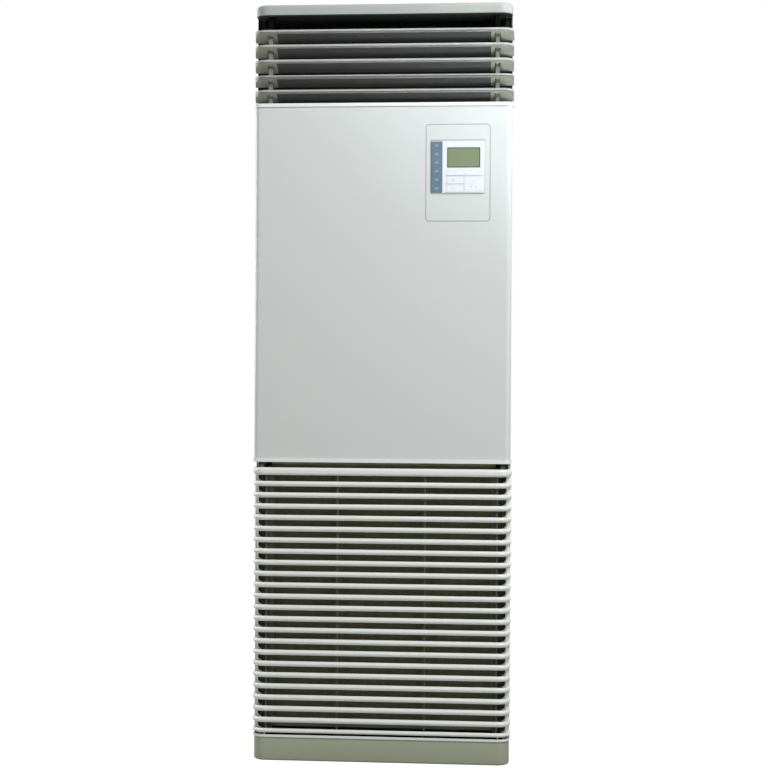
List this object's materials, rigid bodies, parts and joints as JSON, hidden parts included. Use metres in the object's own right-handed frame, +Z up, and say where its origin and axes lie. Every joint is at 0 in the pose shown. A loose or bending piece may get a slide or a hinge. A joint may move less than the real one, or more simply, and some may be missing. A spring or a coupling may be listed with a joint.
{
  "type": "floor standing air conditioner",
  "caption": "Tall slim floor standing air conditioner with a barred inlet grille below, a plain front panel with a wired controller, and tilting louvres under the top cap.",
  "frame": {"origin": "on the floor, under the middle of the outer box", "axes": "+Z up, front faces -Y, +X to the right seen from the front"},
  "size_m": [0.6, 0.21, 1.75],
  "materials": {
    "shell_white": "satin powder coat, pale grey-white",
    "side_steel": "satin powder coat",
    "cap_grey": "fine textured moulding",
    "trim_light": "smooth light strip",
    "kick_grey": "satin grey-green coat",
    "grille_plastic": "satin moulded",
    "vane_plastic": "satin moulded, dark lining below",
    "dark_plastic": "matt black",
    "filter_frame": "matt dark",
    "filter_net": "woven net",
    "galvanised": "zinc coated sheet",
    "copper": "drawn copper tube",
    "fin_aluminium": "thin pressed fins",
    "fan_plastic": "moulded",
    "motor_grey": "baked enamel",
    "screw_steel": "plated",
    "insulation": "moulded tray",
    "board_green": "coated board",
    "terminal_black": "moulded",
    "controller_white": "smooth bluish white",
    "controller_strip": "blue-grey overlay",
    "screen": "grey-green display window",
    "key_white": "smooth",
    "gland_black": "matt"
  },
  "bodies": {
    "casing": {"base_pan": "galvanised", "kick_plate": "kick_grey", "side_panel_left": "side_steel", "side_panel_right": "side_steel", "back_panel": "galvanised", "casing_screws": "screw_steel", "wall_plate": "galvanised", "top_cap": "cap_grey", "front_panel": "shell_white", "casing_trims": "trim_light", "cross_rail": "galvanised", "grille_hinges": "galvanised", "grille_catches": "dark_plastic", "outlet_liner": "dark_plastic", "outlet_posts": "vane_plastic", "outlet_cheeks": "vane_plastic", "swing_motor": "motor_grey", "bell_mouth": "galvanised", "fan_scroll": "galvanised", "fan_motor": "motor_grey", "evaporator_fins": "fin_aluminium", "evaporator_end_plates": "galvanised", "evaporator_tubes": "copper", "drain_pan": "insulation", "drain_pipe": "insulation", "refrigerant_pipes": "copper", "control_box": "galvanised", "control_box_lid": "galvanised", "control_board": "board_green", "terminal_block": "terminal_black", "cable_gland": "gland_black", "controller_cover": "shell_white", "controller_case": "controller_white", "controller_strip": "controller_strip", "controller_screen": "screen", "controller_board": "board_green"},
    "inlet_grille": {"inlet_grille": "grille_plastic"},
    "air_filter": {"air_filter_frame": "filter_frame", "air_filter_mesh": "filter_net"},
    "fan": {"fan_wheel": "fan_plastic", "fan_shaft": "screw_steel"},
    "guide_vane_link": {"guide_vane_link": "dark_plastic"},
    "swing_crank": {"swing_crank": "dark_plastic"},
    "air_vane_1": {"air_vane_1": "vane_plastic"},
    "air_vane_2": {"air_vane_2": "vane_plastic"},
    "air_vane_3": {"air_vane_3": "vane_plastic"},
    "air_vane_4": {"air_vane_4": "vane_plastic"},
    "air_vane_5": {"air_vane_5": "vane_plastic"},
    "guide_vane_1": {"guide_vane_1": "dark_plastic"},
    "guide_vane_2": {"guide_vane_2": "dark_plastic"},
    "guide_vane_3": {"guide_vane_3": "dark_plastic"},
    "guide_vane_4": {"guide_vane_4": "dark_plastic"},
    "guide_vane_5": {"guide_vane_5": "dark_plastic"},
    "guide_vane_6": {"guide_vane_6": "dark_plastic"},
    "key_power": {"key_power": "key_white"},
    "key_up": {"key_up": "key_white"},
    "key_down": {"key_down": "key_white"},
    "key_small_left": {"key_small_left": "key_white"},
    "key_small_right": {"key_small_right": "key_white"}
  },
  "joints": [
    {"name": "grille_open", "type": "hinge", "parent": "casing", "child": "inlet_grille", "pos_m": [0, -0.0935, 0.07], "axis": [1, 0, 0], "range_deg": [0, 30]},
    {"name": "filter_slide", "type": "slide", "parent": "inlet_grille", "child": "air_filter", "axis": [0, 0, 1], "range_m": [0, 0.12]},
    {"name": "air_vane_1_tilt", "type": "hinge", "parent": "casing", "child": "air_vane_1", "pos_m": [0, -0.0848, 1.67584], "axis": [-1, 0, 0], "range_deg": [-25, 15]},
    {"name": "air_vane_2_tilt", "type": "hinge", "parent": "casing", "child": "air_vane_2", "pos_m": [0, -0.0848, 1.64124], "axis": [-1, 0, 0], "range_deg": [-27, 13]},
    {"name": "air_vane_3_tilt", "type": "hinge", "parent": "casing", "child": "air_vane_3", "pos_m": [0, -0.0848, 1.60664], "axis": [-1, 0, 0], "range_deg": [-27, 13]},
    {"name": "air_vane_4_tilt", "type": "hinge", "parent": "casing", "child": "air_vane_4", "pos_m": [0, -0.0848, 1.57204], "axis": [-1, 0, 0], "range_deg": [-21, 19]},
    {"name": "air_vane_5_tilt", "type": "hinge", "parent": "casing", "child": "air_vane_5", "pos_m": [0, -0.0848, 1.53744], "axis": [-1, 0, 0], "range_deg": [-25, 15]},
    {"name": "guide_vane_1_swing", "type": "hinge", "parent": "casing", "child": "guide_vane_1", "pos_m": [-0.195, -0.037, 1.62], "axis": [0, 0, 1], "range_deg": [-30, 30]},
    {"name": "guide_vane_2_swing", "type": "hinge", "parent": "casing", "child": "guide_vane_2", "pos_m": [-0.117, -0.037, 1.62], "axis": [0, 0, 1], "range_deg": [-30, 30]},
    {"name": "guide_vane_3_swing", "type": "hinge", "parent": "casing", "child": "guide_vane_3", "pos_m": [-0.039, -0.037, 1.62], "axis": [0, 0, 1], "range_deg": [-30, 30]},
    {"name": "guide_vane_4_swing", "type": "hinge", "parent": "casing", "child": "guide_vane_4", "pos_m": [0.039, -0.037, 1.62], "axis": [0, 0, 1], "range_deg": [-30, 30]},
    {"name": "guide_vane_5_swing", "type": "hinge", "parent": "casing", "child": "guide_vane_5", "pos_m": [0.117, -0.037, 1.62], "axis": [0, 0, 1], "range_deg": [-30, 30]},
    {"name": "guide_vane_6_swing", "type": "hinge", "parent": "casing", "child": "guide_vane_6", "pos_m": [0.195, -0.037, 1.62], "axis": [0, 0, 1], "range_deg": [-30, 30]},
    {"name": "guide_link_turn", "type": "hinge", "parent": "guide_vane_1", "child": "guide_vane_link", "pos_m": [-0.195, -0.023, 1.718], "axis": [0, 0, 1], "range_deg": [-30, 30]},
    {"name": "swing_crank_turn", "type": "hinge", "parent": "casing", "child": "swing_crank", "pos_m": [0.235, -0.037, 1.715], "axis": [0, 0, 1], "range_deg": [-30, 30]},
    {"name": "fan_spin", "type": "hinge", "parent": "casing", "child": "fan", "pos_m": [0, 0.02, 0.35], "axis": [0, 1, 0], "continuous": true},
    {"name": "key_power_press", "type": "slide", "parent": "casing", "child": "key_power", "axis": [0, 1, 0], "range_m": [0, 0.0008], "stiffness_N_per_m": 400},
    {"name": "key_up_press", "type": "slide", "parent": "casing", "child": "key_up", "axis": [0, 1, 0], "range_m": [0, 0.0008], "stiffness_N_per_m": 400},
    {"name": "key_down_press", "type": "slide", "parent": "casing", "child": "key_down", "axis": [0, 1, 0], "range_m": [0, 0.0008], "stiffness_N_per_m": 400},
    {"name": "key_small_left_press", "type": "slide", "parent": "casing", "child": "key_small_left", "axis": [0, 1, 0], "range_m": [0, 0.0008], "stiffness_N_per_m": 400},
    {"name": "key_small_right_press", "type": "slide", "parent": "casing", "child": "key_small_right", "axis": [0, 1, 0], "range_m": [0, 0.0008], "stiffness_N_per_m": 400}
  ],
  "couplings": [
    {"joint": "guide_vane_2_swing", "follows": "guide_vane_1_swing", "ratio": 1},
    {"joint": "guide_vane_3_swing", "follows": "guide_vane_1_swing", "ratio": 1},
    {"joint": "guide_vane_4_swing", "follows": "guide_vane_1_swing", "ratio": 1},
    {"joint": "guide_vane_5_swing", "follows": "guide_vane_1_swing", "ratio": 1},
    {"joint": "guide_vane_6_swing", "follows": "guide_vane_1_swing", "ratio": 1},
    {"joint": "swing_crank_turn", "follows": "guide_vane_1_swing", "ratio": 1},
    {"joint": "guide_link_turn", "follows": "guide_vane_1_swing", "ratio": -1}
  ]
}
